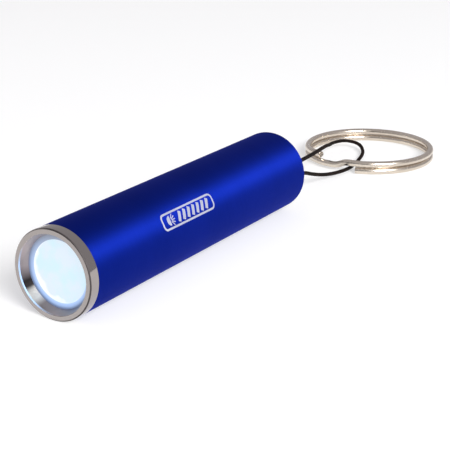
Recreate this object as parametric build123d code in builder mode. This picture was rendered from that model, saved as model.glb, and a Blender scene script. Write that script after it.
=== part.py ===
from build123d import *
import os
from math import asin, cos, degrees, pi, radians, sin

os.makedirs("parts", exist_ok=True)

# Frame: millimetres, +Z up. The torch lies on the plane z = 0 with its axis along Y, its lens
# towards -Y and its tail towards +Y. The origin is under the middle of the tube.
# "Station" is the distance back from the front face of the bezel.

# Driving dimensions
LENGTH = 70.0
OUTER_RADIUS = 8.0
BORE_RADIUS = 7.0
RUNNING_GAP = 0.05
SEAT_GAP = 0.02
AXIS_HEIGHT = OUTER_RADIUS
FRONT_Y = -LENGTH / 2
TUBE_AXIS = Axis((0, 0, AXIS_HEIGHT), (0, 1, 0))

# Bezel and the light stack behind it
RIM_LENGTH = 2.12
RIM_EDGE_ROUND = 0.27
RIM_FACE_INNER_RADIUS = 7.0
LIP_RADIUS = 6.4
LIP_STATION = 1.8
NECK_END = 6.5
NECK_OUTER_RADIUS = 7.35
NECK_INNER_RADIUS = 6.85
THREAD_SEAT_END = 6.9
LENS_RADIUS = 6.8
LENS_FRONT = 2.05
LENS_BACK = 3.5
LENS_EYE_RADIUS = 5.5
LENS_DOME = 0.22
REFLECTOR_FRONT = 3.55
REFLECTOR_BACK = 10.2
REFLECTOR_MOUTH_RADIUS = 6.1
REFLECTOR_HOLE_RADIUS = 2.6
LED_RADIUS = 2.5
LED_TIP = 6.4
LED_FLANGE_RADIUS = 2.9
BOARD_FRONT = 11.2
BOARD_BACK = 12.4
LEAD_SPACING = 2.54
LEAD_SIDE = 0.5
LEAD_END = 13.4
LEAD_HOLE_RADIUS = 0.5
BOARD_NOTCH_RADIUS = 1.2

# Button cells
CELL_COUNT = 4
CELL_RADIUS = 5.8
CELL_THICKNESS = 5.4
CELL_CAP_RADIUS = 4.7
CELL_CAP_HEIGHT = 0.3
CELL_EDGE_ROUND = 0.25
CELLS_FRONT = 16.6
CELLS_BACK = CELLS_FRONT + CELL_COUNT * CELL_THICKNESS
SLEEVE_OVERHANG = 0.4
SLEEVE_FRONT = 16.0
SLEEVE_BACK = CELLS_BACK + SLEEVE_OVERHANG
SLEEVE_INNER_RADIUS = 5.9
SLEEVE_OUTER_RADIUS = 6.9
SLEEVE_SLOT = 3.0

# Tail switch
CONTACT_HEAD_FRONT = 42.7
SWITCH_FRONT = 43.2
SWITCH_WALL_BACK = 44.4
SWITCH_CONTACT_BACK = 45.0
SWITCH_BACK = 58.8
SWITCH_OUTER_RADIUS = 6.95
SWITCH_BORE_RADIUS = 5.6
GUIDE_FRONT = 55.5
STEM_RADIUS = 1.7
BUTTON_TRAVEL = 1.0
BRIDGE_THICKNESS = 0.4
BRIDGE_FRONT = SWITCH_CONTACT_BACK + BUTTON_TRAVEL + RUNNING_GAP
BRIDGE_RADIUS = 4.6
TAB_WIDTH = 2.0
TAB_THICKNESS = 0.6

# Tail plug and button
PLUG_SEAT = 59.0
PLUG_RADIUS = 7.25
PLUG_FACE = 69.0
PLUG_WALL_FRONT = 66.5
PLUG_SKIRT_INNER_RADIUS = 6.4
BUTTON_RADIUS = 3.65
BUTTON_HOLE_RADIUS = BUTTON_RADIUS + RUNNING_GAP
BUTTON_FLANGE_RADIUS = 4.1
BUTTON_BACK = 62.4
TUBE_TAIL_ROUND = 0.6

# Lanyard: two holes one above the other, so the loop folds sideways at the plug's face
CORD_DIAMETER = 0.8
CORD_RADIUS = CORD_DIAMETER / 2
LANYARD_HOLE_RADIUS = 0.6
LANYARD_HOLE_CHAMFER = 0.3
LANYARD_X = 5.2
LANYARD_UPPER_Z = AXIS_HEIGHT + 2.2
LANYARD_LOWER_Z = AXIS_HEIGHT - 1.3
BIGHT_MOUTH = 68.0
BIGHT_TURN = 65.6
LOOP_START_Y = FRONT_Y + PLUG_FACE + RUNNING_GAP

# Split ring
RING_WIRE_DIAMETER = 1.45
RING_WIRE_RADIUS = RING_WIRE_DIAMETER / 2
RING_CENTRE_X = 0.7
RING_CENTRE_Y = 79.3
RING_RADIUS = 14.3
RING_LAYER_RISE = 1.52
RING_LOW_Z = RING_WIRE_RADIUS
RING_HIGH_Z = RING_LOW_Z + RING_LAYER_RISE


def turned_profile(points):
    """A half section given as (station, radius) pairs, ready to be turned about the tube axis."""
    with BuildSketch(Plane.YZ) as sketch:
        with BuildLine():
            Polyline(*[(FRONT_Y + station, AXIS_HEIGHT + radius) for station, radius in points], close=True)
        make_face()
    return sketch.sketch


def cross_plane(station):
    """A plane across the tube at a station, facing the tail. Its x points along -X and its y up."""
    return Plane(origin=(0, FRONT_Y + station, AXIS_HEIGHT), x_dir=(-1, 0, 0), z_dir=(0, 1, 0))


def finish(part, label):
    """Name a finished piece and write it."""
    part.label = label
    export_step(part, f"parts/{label}.step")


def coil(front, back, radius, wire_radius, turns):
    """A round-wire compression spring around the tube axis, between two stations."""
    with BuildPart() as spring:
        with BuildLine() as path:
            Helix(
                pitch=(back - front - 2 * wire_radius) / turns,
                height=back - front - 2 * wire_radius,
                radius=radius,
                center=(0, FRONT_Y + front + wire_radius, AXIS_HEIGHT),
                direction=(0, 1, 0),
            )
        with BuildSketch(Plane(origin=path.line @ 0, z_dir=path.line % 0)):
            Circle(wire_radius)
        sweep(is_frenet=True)
    return spring.part


# Body tube: straight anodised tube with a thread seat in front and a plug seat at the tail
with BuildPart() as body_tube:
    revolve(
        turned_profile(
            [
                (RIM_LENGTH + SEAT_GAP, NECK_OUTER_RADIUS + RUNNING_GAP),
                (THREAD_SEAT_END, NECK_OUTER_RADIUS + RUNNING_GAP),
                (THREAD_SEAT_END, BORE_RADIUS),
                (PLUG_SEAT, BORE_RADIUS),
                (PLUG_SEAT, PLUG_RADIUS),
                (LENGTH, PLUG_RADIUS),
                (LENGTH, OUTER_RADIUS),
                (RIM_LENGTH + SEAT_GAP, OUTER_RADIUS),
            ]
        ),
        axis=TUBE_AXIS,
    )
    tail_edges = body_tube.edges().filter_by(GeomType.CIRCLE).group_by(Axis.Y)[-1]
    fillet(tail_edges.sort_by(SortBy.RADIUS)[-1], TUBE_TAIL_ROUND)
    head_edges = body_tube.edges().filter_by(GeomType.CIRCLE).group_by(Axis.Y)[0]
    chamfer(head_edges.sort_by(SortBy.RADIUS)[-1], 2 * RUNNING_GAP)
finish(body_tube.part, "body_tube")

# Bezel: chromed rim with a conical throat, and the plain cylinder that stands for its thread
with BuildPart() as bezel_ring:
    revolve(
        turned_profile(
            [
                (0, RIM_FACE_INNER_RADIUS),
                (LIP_STATION, LIP_RADIUS),
                (LIP_STATION, NECK_INNER_RADIUS),
                (NECK_END, NECK_INNER_RADIUS),
                (NECK_END, NECK_OUTER_RADIUS),
                (RIM_LENGTH, NECK_OUTER_RADIUS),
                (RIM_LENGTH, OUTER_RADIUS),
                (0, OUTER_RADIUS),
            ]
        ),
        axis=TUBE_AXIS,
    )
    face_edges = bezel_ring.edges().filter_by(GeomType.CIRCLE).group_by(Axis.Y)[0].sort_by(SortBy.RADIUS)
    fillet(face_edges[-1], RIM_EDGE_ROUND)
    fillet(face_edges[0], 2 * RUNNING_GAP)
finish(bezel_ring.part, "bezel_ring")

# Lens gasket: thin translucent ring held between the bezel's lip and the lens
with BuildPart() as lens_gasket:
    revolve(
        turned_profile(
            [
                (LIP_STATION + SEAT_GAP, LENS_RADIUS),
                (LIP_STATION + SEAT_GAP, LIP_RADIUS),
                (LENS_FRONT - 3 * SEAT_GAP, LENS_EYE_RADIUS),
                (LENS_FRONT - SEAT_GAP, LENS_EYE_RADIUS),
                (LENS_FRONT - SEAT_GAP, LENS_RADIUS),
            ]
        ),
        axis=TUBE_AXIS,
    )
finish(lens_gasket.part, "lens_gasket")

# Lens: flat-backed disc whose front swells into a shallow spherical dome inside the gasket's eye
DOME_RADIUS = LENS_EYE_RADIUS - 2 * RUNNING_GAP
DOME_SPHERE = (DOME_RADIUS**2 + LENS_DOME**2) / (2 * LENS_DOME)
with BuildPart() as lens:
    with BuildSketch(Plane.YZ):
        with BuildLine():
            crown_y = FRONT_Y + LENS_FRONT - LENS_DOME
            dome = CenterArc(
                (crown_y + DOME_SPHERE, AXIS_HEIGHT), DOME_SPHERE, 180, -degrees(asin(DOME_RADIUS / DOME_SPHERE))
            )
            Polyline(
                dome @ 0,
                (FRONT_Y + LENS_BACK, AXIS_HEIGHT),
                (FRONT_Y + LENS_BACK, AXIS_HEIGHT + LENS_RADIUS),
                (FRONT_Y + LENS_FRONT, AXIS_HEIGHT + LENS_RADIUS),
                dome @ 1,
            )
        make_face()
    revolve(axis=TUBE_AXIS)
finish(lens.part, "lens")

# Reflector: metallised parabolic cup whose front fits inside the bezel's neck
BOWL_STEPS = 6
REFLECTOR_DEPTH = REFLECTOR_BACK - REFLECTOR_FRONT
REFLECTOR_COLLAR_RADIUS = NECK_INNER_RADIUS - 2 * RUNNING_GAP


def bowl_radius(share):
    """Radius of the parabolic bowl at a share of its depth, from its mouth to the LED's hole."""
    return (REFLECTOR_MOUTH_RADIUS**2 * (1 - share) + REFLECTOR_HOLE_RADIUS**2 * share) ** 0.5


with BuildPart() as reflector:
    bowl_shares = [step / BOWL_STEPS for step in range(BOWL_STEPS + 1)]
    with BuildSketch(Plane.YZ):
        with BuildLine():
            bowl = Spline(
                *[
                    (FRONT_Y + REFLECTOR_FRONT + REFLECTOR_DEPTH * share, AXIS_HEIGHT + bowl_radius(share))
                    for share in bowl_shares
                ]
            )
            Polyline(
                bowl @ 1,
                (FRONT_Y + REFLECTOR_BACK, AXIS_HEIGHT + SWITCH_OUTER_RADIUS),
                (FRONT_Y + THREAD_SEAT_END + RUNNING_GAP, AXIS_HEIGHT + SWITCH_OUTER_RADIUS),
                (FRONT_Y + THREAD_SEAT_END + RUNNING_GAP, AXIS_HEIGHT + REFLECTOR_COLLAR_RADIUS),
                (FRONT_Y + REFLECTOR_FRONT, AXIS_HEIGHT + REFLECTOR_COLLAR_RADIUS),
                bowl @ 0,
            )
        make_face()
    revolve(axis=TUBE_AXIS)
finish(reflector.part, "reflector")

# Light source: flanged LED whose flange rests on the board, behind the reflector
with BuildPart() as led:
    with BuildSketch(Plane.YZ):
        with BuildLine():
            tip = (FRONT_Y + LED_TIP, AXIS_HEIGHT)
            shoulder = (FRONT_Y + LED_TIP + LED_RADIUS, AXIS_HEIGHT + LED_RADIUS)
            half_way = LED_RADIUS * cos(pi / 4)
            ThreePointArc(
                shoulder, (FRONT_Y + LED_TIP + LED_RADIUS - half_way, AXIS_HEIGHT + half_way), tip
            )
            Polyline(
                tip,
                (FRONT_Y + BOARD_FRONT, AXIS_HEIGHT),
                (FRONT_Y + BOARD_FRONT, AXIS_HEIGHT + LED_FLANGE_RADIUS),
                (FRONT_Y + REFLECTOR_BACK + SEAT_GAP, AXIS_HEIGHT + LED_FLANGE_RADIUS),
                (FRONT_Y + REFLECTOR_BACK + SEAT_GAP, AXIS_HEIGHT + LED_RADIUS),
                shoulder,
            )
        make_face()
    revolve(axis=TUBE_AXIS)
finish(led.part, "led")

with BuildPart() as led_leads:
    with BuildSketch(cross_plane(BOARD_FRONT)):
        with GridLocations(LEAD_SPACING, 0, 2, 1):
            Rectangle(LEAD_SIDE, LEAD_SIDE)
    extrude(amount=LEAD_END - BOARD_FRONT)
finish(led_leads.part, "led_leads")

with BuildPart() as led_board:
    with BuildSketch(cross_plane(BOARD_FRONT)):
        Circle(SLEEVE_OUTER_RADIUS)
        with GridLocations(LEAD_SPACING, 0, 2, 1):
            Circle(LEAD_HOLE_RADIUS, mode=Mode.SUBTRACT)
        with Locations((0, -SLEEVE_OUTER_RADIUS)):
            Circle(BOARD_NOTCH_RADIUS, mode=Mode.SUBTRACT)
    extrude(amount=BOARD_BACK - BOARD_FRONT)
finish(led_board.part, "led_board")

# Surface resistor on the back of the board, clear of the contact spring
RESISTOR_LENGTH = 3.2
RESISTOR_WIDTH = 1.0
RESISTOR_HEIGHT = 0.55
RESISTOR_OFFSET = 5.0
with BuildPart() as series_resistor:
    with BuildSketch(cross_plane(BOARD_BACK)):
        with Locations((0, RESISTOR_OFFSET)):
            Rectangle(RESISTOR_LENGTH, RESISTOR_WIDTH)
    extrude(amount=RESISTOR_HEIGHT)
finish(series_resistor.part, "series_resistor")

with BuildPart() as board_spacer:
    with BuildSketch(cross_plane(BOARD_BACK)):
        Circle(SLEEVE_OUTER_RADIUS)
        Circle(SLEEVE_INNER_RADIUS, mode=Mode.SUBTRACT)
    extrude(amount=SLEEVE_FRONT - BOARD_BACK)
finish(board_spacer.part, "board_spacer")

FRONT_SPRING_RADIUS = 3.4
FRONT_SPRING_WIRE_RADIUS = 0.25
FRONT_SPRING_TURNS = 4
front_contact_spring = coil(
    BOARD_BACK, CELLS_FRONT, FRONT_SPRING_RADIUS, FRONT_SPRING_WIRE_RADIUS, FRONT_SPRING_TURNS
)
finish(front_contact_spring, "front_contact_spring")

# Button cells in a row: each has its narrower negative cap forward, inside a split sleeve
for index in range(CELL_COUNT):
    front = CELLS_FRONT + index * CELL_THICKNESS
    with BuildPart() as cell:
        revolve(
            turned_profile(
                [
                    (front, 0),
                    (front, CELL_CAP_RADIUS),
                    (front + CELL_CAP_HEIGHT, CELL_CAP_RADIUS),
                    (front + CELL_CAP_HEIGHT, CELL_RADIUS),
                    (front + CELL_THICKNESS, CELL_RADIUS),
                    (front + CELL_THICKNESS, 0),
                ]
            ),
            axis=TUBE_AXIS,
        )
        can_edges = cell.edges().filter_by(GeomType.CIRCLE).sort_by(SortBy.RADIUS)[-2:]
        fillet(can_edges, CELL_EDGE_ROUND)
    finish(cell.part, f"button_cell_{index + 1}")

with BuildPart() as battery_sleeve:
    with BuildSketch(cross_plane(SLEEVE_FRONT)):
        Circle(SLEEVE_OUTER_RADIUS)
        Circle(SLEEVE_INNER_RADIUS, mode=Mode.SUBTRACT)
        with Locations((0, SLEEVE_OUTER_RADIUS)):
            Rectangle(SLEEVE_SLOT, 3 * (SLEEVE_OUTER_RADIUS - SLEEVE_INNER_RADIUS), mode=Mode.SUBTRACT)
    extrude(amount=SLEEVE_BACK - SLEEVE_FRONT)
finish(battery_sleeve.part, "battery_sleeve")

BATTERY_SPRING_RADIUS = 3.4
BATTERY_SPRING_WIRE_RADIUS = 0.3
BATTERY_SPRING_TURNS = 4
battery_spring = coil(
    CELLS_BACK, CONTACT_HEAD_FRONT, BATTERY_SPRING_RADIUS, BATTERY_SPRING_WIRE_RADIUS, BATTERY_SPRING_TURNS
)
finish(battery_spring, "battery_spring")

# Switch: a cup with two fixed contacts in its floor, a bridge disc on a sprung plunger
RIVET_HEAD_RADIUS = 4.2
RIVET_STEM_RADIUS = 0.95
RIVET_TAIL_RADIUS = 1.6
with BuildPart() as centre_contact:
    revolve(
        turned_profile(
            [
                (CONTACT_HEAD_FRONT, 0),
                (CONTACT_HEAD_FRONT, RIVET_HEAD_RADIUS),
                (SWITCH_FRONT, RIVET_HEAD_RADIUS),
                (SWITCH_FRONT, RIVET_STEM_RADIUS),
                (SWITCH_WALL_BACK, RIVET_STEM_RADIUS),
                (SWITCH_WALL_BACK, RIVET_TAIL_RADIUS),
                (SWITCH_CONTACT_BACK, RIVET_TAIL_RADIUS),
                (SWITCH_CONTACT_BACK, 0),
            ]
        ),
        axis=TUBE_AXIS,
    )
finish(centre_contact.part, "centre_contact")

SIDE_CONTACT_INNER_RADIUS = 3.4
with BuildPart() as side_contact:
    with BuildSketch(cross_plane(SWITCH_WALL_BACK)):
        Circle(SWITCH_BORE_RADIUS - RUNNING_GAP)
        Circle(SIDE_CONTACT_INNER_RADIUS, mode=Mode.SUBTRACT)
        with BuildSketch(mode=Mode.PRIVATE) as tab:
            with Locations((0, (SIDE_CONTACT_INNER_RADIUS + BORE_RADIUS) / 2)):
                Rectangle(TAB_WIDTH, BORE_RADIUS - SIDE_CONTACT_INNER_RADIUS - SEAT_GAP)
            Circle(BORE_RADIUS - SEAT_GAP, mode=Mode.INTERSECT)
            Circle(SIDE_CONTACT_INNER_RADIUS, mode=Mode.SUBTRACT)
        add(tab.sketch)
    extrude(amount=TAB_THICKNESS)
finish(side_contact.part, "side_contact")

with BuildPart() as switch_housing:
    revolve(
        turned_profile(
            [
                (SWITCH_FRONT, RIVET_STEM_RADIUS + SEAT_GAP),
                (SWITCH_FRONT, SWITCH_OUTER_RADIUS),
                (SWITCH_BACK, SWITCH_OUTER_RADIUS),
                (SWITCH_BACK, SWITCH_BORE_RADIUS),
                (SWITCH_WALL_BACK, SWITCH_BORE_RADIUS),
                (SWITCH_WALL_BACK, RIVET_STEM_RADIUS + SEAT_GAP),
            ]
        ),
        axis=TUBE_AXIS,
    )
    with BuildSketch(cross_plane(SWITCH_WALL_BACK)):
        with Locations((0, BORE_RADIUS)):
            Rectangle(TAB_WIDTH + 2 * RUNNING_GAP, 2 * (BORE_RADIUS - SIDE_CONTACT_INNER_RADIUS))
    extrude(amount=TAB_THICKNESS + RUNNING_GAP, mode=Mode.SUBTRACT)
finish(switch_housing.part, "switch_housing")

NOSE_RADIUS = 1.2
BRIDGE_BACK = BRIDGE_FRONT + BRIDGE_THICKNESS
with BuildPart() as contact_bridge:
    with BuildSketch(cross_plane(BRIDGE_FRONT)):
        Circle(BRIDGE_RADIUS)
        Circle(NOSE_RADIUS, mode=Mode.SUBTRACT)
    extrude(amount=BRIDGE_THICKNESS)
finish(contact_bridge.part, "contact_bridge")

COLLAR_RADIUS = 3.4
COLLAR_LENGTH = 1.0
with BuildPart() as switch_plunger:
    revolve(
        turned_profile(
            [
                (BRIDGE_FRONT + 2 * RUNNING_GAP, 0),
                (BRIDGE_FRONT + 2 * RUNNING_GAP, NOSE_RADIUS),
                (BRIDGE_BACK, NOSE_RADIUS),
                (BRIDGE_BACK, COLLAR_RADIUS),
                (BRIDGE_BACK + COLLAR_LENGTH, COLLAR_RADIUS),
                (BRIDGE_BACK + COLLAR_LENGTH, STEM_RADIUS),
                (GUIDE_FRONT - RUNNING_GAP - COLLAR_LENGTH, STEM_RADIUS),
                (GUIDE_FRONT - RUNNING_GAP - COLLAR_LENGTH, COLLAR_RADIUS),
                (GUIDE_FRONT - RUNNING_GAP, COLLAR_RADIUS),
                (GUIDE_FRONT - RUNNING_GAP, STEM_RADIUS),
                (BUTTON_BACK, STEM_RADIUS),
                (BUTTON_BACK, 0),
            ]
        ),
        axis=TUBE_AXIS,
    )
finish(switch_plunger.part, "switch_plunger")

with BuildPart() as switch_guide:
    with BuildSketch(cross_plane(GUIDE_FRONT)):
        Circle(SWITCH_BORE_RADIUS - SEAT_GAP)
        Circle(STEM_RADIUS + RUNNING_GAP, mode=Mode.SUBTRACT)
    extrude(amount=SWITCH_BACK - GUIDE_FRONT)
finish(switch_guide.part, "switch_guide")

RETURN_SPRING_RADIUS = 2.5
RETURN_SPRING_WIRE_RADIUS = 0.2
RETURN_SPRING_TURNS = 5
return_spring = coil(
    SWITCH_BACK, BUTTON_BACK, RETURN_SPRING_RADIUS, RETURN_SPRING_WIRE_RADIUS, RETURN_SPRING_TURNS
)
finish(return_spring, "return_spring")

# Tail plug: closes the tube, guides the button and carries the two lanyard holes
with BuildPart() as tail_plug:
    revolve(
        turned_profile(
            [
                (PLUG_SEAT, PLUG_SKIRT_INNER_RADIUS),
                (PLUG_WALL_FRONT, PLUG_SKIRT_INNER_RADIUS),
                (PLUG_WALL_FRONT, BUTTON_HOLE_RADIUS),
                (PLUG_FACE, BUTTON_HOLE_RADIUS),
                (PLUG_FACE, PLUG_RADIUS - SEAT_GAP),
                (PLUG_SEAT, PLUG_RADIUS - SEAT_GAP),
            ]
        ),
        axis=TUBE_AXIS,
    )
    with BuildSketch(Plane.XZ.offset(-(FRONT_Y + PLUG_FACE))):
        with Locations((LANYARD_X, LANYARD_UPPER_Z), (LANYARD_X, LANYARD_LOWER_Z)):
            Circle(LANYARD_HOLE_RADIUS)
    extrude(amount=PLUG_FACE - PLUG_WALL_FRONT + SEAT_GAP, mode=Mode.SUBTRACT)
    hole_edges = tail_plug.edges().filter_by(GeomType.CIRCLE).group_by(Axis.Y)[-1]
    chamfer(hole_edges.sort_by(SortBy.RADIUS)[:2], LANYARD_HOLE_CHAMFER)
finish(tail_plug.part, "tail_plug")

BUTTON_CROWN_ROUND = 0.9
BUTTON_FLANGE_BACK = PLUG_WALL_FRONT - RUNNING_GAP
BUTTON_FLANGE_FRONT = BUTTON_FLANGE_BACK - COLLAR_LENGTH
with BuildPart() as push_button:
    revolve(
        turned_profile(
            [
                (BUTTON_BACK, 0),
                (BUTTON_BACK, BUTTON_RADIUS),
                (BUTTON_FLANGE_FRONT, BUTTON_RADIUS),
                (BUTTON_FLANGE_FRONT, BUTTON_FLANGE_RADIUS),
                (BUTTON_FLANGE_BACK, BUTTON_FLANGE_RADIUS),
                (BUTTON_FLANGE_BACK, BUTTON_RADIUS),
                (LENGTH, BUTTON_RADIUS),
                (LENGTH, 0),
            ]
        ),
        axis=TUBE_AXIS,
    )
    crown_edges = push_button.edges().filter_by(GeomType.CIRCLE).group_by(Axis.Y)[-1]
    fillet(crown_edges, BUTTON_CROWN_ROUND)
finish(push_button.part, "push_button")

# Lanyard: a bight held in the plug's two holes, and the free loop outside them
BIGHT_BEND_RADIUS = 1.0
with BuildPart() as cord_bight:
    with BuildLine() as bight_path:
        FilletPolyline(
            (LANYARD_X, FRONT_Y + BIGHT_MOUTH, LANYARD_UPPER_Z),
            (LANYARD_X, FRONT_Y + BIGHT_TURN, LANYARD_UPPER_Z),
            (LANYARD_X, FRONT_Y + BIGHT_TURN, LANYARD_LOWER_Z),
            (LANYARD_X, FRONT_Y + BIGHT_MOUTH, LANYARD_LOWER_Z),
            radius=BIGHT_BEND_RADIUS,
        )
    with BuildSketch(Plane(origin=bight_path.line @ 0, z_dir=bight_path.line % 0)):
        Circle(CORD_RADIUS)
    sweep()
finish(cord_bight.part, "cord_bight")

# The free loop leaves the upper hole, passes over the split ring's near side, comes down inside
# the ring, turns there close to the table and goes back under the ring's kink to the lower hole.
LOOP_ROUTE = [
    (LANYARD_X, LOOP_START_Y, LANYARD_UPPER_Z),
    (5.1, 36.4, 9.9),
    (4.1, 40.0, 9.3),
    (2.7, 44.7, 8.5),
    (1.1, 50.1, 7.6),
    (-0.6, 55.8, 6.7),
    (-2.4, 61.7, 5.8),
    (-4.4, 67.4, 4.7),
    (-6.4, 72.9, 3.3),
    (-8.3, 78.2, 2.3),
    (-7.6, 83.1, 1.9),
    (-4.0, 83.9, 1.4),
    (-0.8, 79.8, 0.7),
    (0.8, 73.9, 0.46),
    (2.0, 67.7, 0.45),
    (2.1, 61.7, 0.9),
    (1.8, 55.5, 1.8),
    (1.6, 50.1, 3.3),
    (2.0, 45.4, 5.0),
    (3.8, 40.4, 6.0),
    (5.0, 36.5, 6.5),
    (LANYARD_X, LOOP_START_Y, LANYARD_LOWER_Z),
]
CORNER_SHARE = 0.45


def corner_radii(route):
    """The largest arc that each corner of a route leaves room for."""
    points = [Vector(*point) for point in route]
    radii = []
    for before, corner, after in zip(points, points[1:], points[2:]):
        arriving = corner - before
        leaving = after - corner
        turn = radians(arriving.get_angle(leaving))
        radii.append(CORNER_SHARE * min(arriving.length, leaving.length) / (sin(turn / 2) / cos(turn / 2)))
    return radii


loop_radii = corner_radii(LOOP_ROUTE)
print("cord loop corner radii, mm:", [round(radius, 1) for radius in loop_radii])
with BuildPart() as cord_loop:
    with BuildLine() as loop_path:
        FilletPolyline(*LOOP_ROUTE, radius=loop_radii)
    with BuildSketch(Plane(origin=loop_path.line @ 0, z_dir=loop_path.line % 0)):
        Circle(CORD_RADIUS)
    sweep()
loop_length = sum(edge.length for edge in loop_path.edges())
print("cord loop length, mm:", round(loop_length, 1))
loop_section = pi * CORD_RADIUS**2
print("cord loop volume over section times length:", round(cord_loop.part.volume / (loop_section * loop_length), 4))
finish(cord_loop.part, "cord_loop")

# Split ring: almost two turns of round wire. The lower turn rises a little towards the kink,
# where the wire steps up on to the upper turn over its own cut end.
RING_START = 284
RING_TURN = 360
RISE_STEPS = [(205, 0.0), (235, 0.38), (255, 0.52), (266, 0.75), (275, 1.56), (290, RING_LAYER_RISE)]
TAIL_LIFT = [(205, 0.0), (247, 0.55)]


def ring_point(angle, height):
    """A point of the ring's wire at an angle about the ring's centre."""
    return (
        RING_CENTRE_X + RING_RADIUS * cos(radians(angle)),
        RING_CENTRE_Y + RING_RADIUS * sin(radians(angle)),
        height,
    )


def ring_tangent(angle):
    """The level direction of the wire at an angle."""
    return (-sin(radians(angle)), cos(radians(angle)), 0)


def ring_arc(start, end, height):
    """A level arc of the wire."""
    middle = (start + end) / 2
    ThreePointArc(ring_point(start, height), ring_point(middle, height), ring_point(end, height))


with BuildPart() as split_ring:
    with BuildLine() as ring_path:
        rise_start = RISE_STEPS[0][0]
        rise_end = RISE_STEPS[-1][0]
        ring_arc(RING_START, RING_TURN, RING_LOW_Z)
        ring_arc(RING_TURN, RING_TURN + rise_start, RING_LOW_Z)
        Spline(
            *[ring_point(angle, RING_LOW_Z + rise) for angle, rise in RISE_STEPS],
            tangents=(ring_tangent(rise_start), ring_tangent(rise_end)),
        )
        ring_arc(rise_end, RING_TURN, RING_HIGH_Z)
        ring_arc(RING_TURN, RING_TURN + rise_start, RING_HIGH_Z)
        Spline(
            *[ring_point(angle, RING_HIGH_Z + lift) for angle, lift in TAIL_LIFT],
            tangents=(ring_tangent(rise_start), ring_tangent(TAIL_LIFT[-1][0])),
        )
    with BuildSketch(Plane(origin=ring_path.line @ 0, z_dir=ring_path.line % 0)):
        Circle(RING_WIRE_RADIUS)
    sweep(transition=Transition.RIGHT)
ring_length = sum(edge.length for edge in ring_path.edges())
ring_section = pi * RING_WIRE_RADIUS**2
print("split ring volume over section times length:", round(split_ring.part.volume / (ring_section * ring_length), 4))
finish(split_ring.part, "split_ring")
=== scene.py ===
import math

import bmesh
import bpy
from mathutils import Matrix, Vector


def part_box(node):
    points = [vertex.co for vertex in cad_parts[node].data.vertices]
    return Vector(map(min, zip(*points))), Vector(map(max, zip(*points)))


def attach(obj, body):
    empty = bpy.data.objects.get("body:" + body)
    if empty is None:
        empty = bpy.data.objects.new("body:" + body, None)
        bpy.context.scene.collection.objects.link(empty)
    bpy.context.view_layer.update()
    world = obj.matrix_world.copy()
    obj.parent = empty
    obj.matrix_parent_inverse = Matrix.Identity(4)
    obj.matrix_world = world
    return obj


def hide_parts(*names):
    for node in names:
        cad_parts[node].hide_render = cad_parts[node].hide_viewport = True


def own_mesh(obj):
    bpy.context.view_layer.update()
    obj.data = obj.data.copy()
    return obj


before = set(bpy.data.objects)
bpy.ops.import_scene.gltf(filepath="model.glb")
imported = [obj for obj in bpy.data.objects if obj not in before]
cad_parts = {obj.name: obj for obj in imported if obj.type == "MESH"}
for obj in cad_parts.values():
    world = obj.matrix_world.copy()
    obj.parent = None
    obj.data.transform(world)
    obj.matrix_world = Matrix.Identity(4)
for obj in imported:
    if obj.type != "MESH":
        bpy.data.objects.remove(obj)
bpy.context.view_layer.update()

# Everything is in metres. The torch lies on z = 0 with its axis along Y, lens towards -Y.
MM = 0.001

# Places taken from the frame, the tube's two sizes in mm
TUBE_LOW, TUBE_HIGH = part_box("body_tube")
BUTTON_LOW, BUTTON_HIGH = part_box("push_button")
FRONT_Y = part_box("bezel_ring")[0].y
AXIS_Z = (TUBE_LOW.z + TUBE_HIGH.z) / 2
TUBE_OUTER = (TUBE_HIGH.x - TUBE_LOW.x) / 2 / MM
TUBE_END = (TUBE_HIGH.y - FRONT_Y) / MM

# Lens end, in mm: stations run back from the front face, radii from the tube's axis
FACE_INNER = 7.0
LIP_RADIUS = 6.4
LIP_STATION = 1.8
LENS_RADIUS = 6.8
LENS_EYE = 5.5
LENS_FRONT = 2.05
LENS_BACK = 3.5
LENS_DOME = 0.22
LENS_BEVEL = 0.08
RIM_ROUND = 0.27


# Mesh helpers

def place(mesh, material, body, replaced=()):
    """Link a finished mesh as one piece of the same name that rides on a body."""
    piece = bpy.data.objects.new(mesh.name, mesh)
    bpy.context.scene.collection.objects.link(piece)
    mesh.materials.append(material)
    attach(piece, body)
    if replaced:
        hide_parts(*replaced)
    return piece


def mesh_from(name, points, faces, sharp_degrees=32.0):
    """A mesh with smooth shading that breaks at edges sharper than the given angle."""
    mesh = bpy.data.meshes.new(name)
    mesh.from_pydata([tuple(p) for p in points], [], faces)
    work = bmesh.new()
    work.from_mesh(mesh)
    bmesh.ops.recalc_face_normals(work, faces=work.faces)
    limit = math.radians(sharp_degrees)
    for face in work.faces:
        face.smooth = True
    for edge in work.edges:
        if len(edge.link_faces) == 2 and edge.calc_face_angle(0.0) > limit:
            edge.smooth = False
    work.to_mesh(mesh)
    work.free()
    return mesh


def round_axis(station, radius, angle):
    """A point given by its station and radius in mm and its angle round the tube's axis."""
    return (radius * MM * math.cos(angle), FRONT_Y + station * MM, AXIS_Z + radius * MM * math.sin(angle))


def rounded(corners, steps=4):
    """A closed outline of (station, radius, round) corners, with each corner turned into a small arc."""
    outline = []
    count = len(corners)
    for index in range(count):
        before = Vector(corners[index - 1][:2])
        corner = Vector(corners[index][:2])
        after = Vector(corners[(index + 1) % count][:2])
        size = corners[index][2]
        if size == 0:
            outline.append(tuple(corner))
            continue
        to_before = (before - corner).normalized()
        to_after = (after - corner).normalized()
        opening = to_before.angle(to_after)
        reach = size / math.tan(opening / 2)
        start = corner + to_before * reach
        end = corner + to_after * reach
        centre = corner + (to_before + to_after).normalized() * size / math.sin(opening / 2)
        for step in range(steps + 1):
            share = step / steps
            spoke = ((start - centre) * (1 - share) + (end - centre) * share).normalized()
            outline.append(tuple(centre + spoke * size))
    return outline


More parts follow.
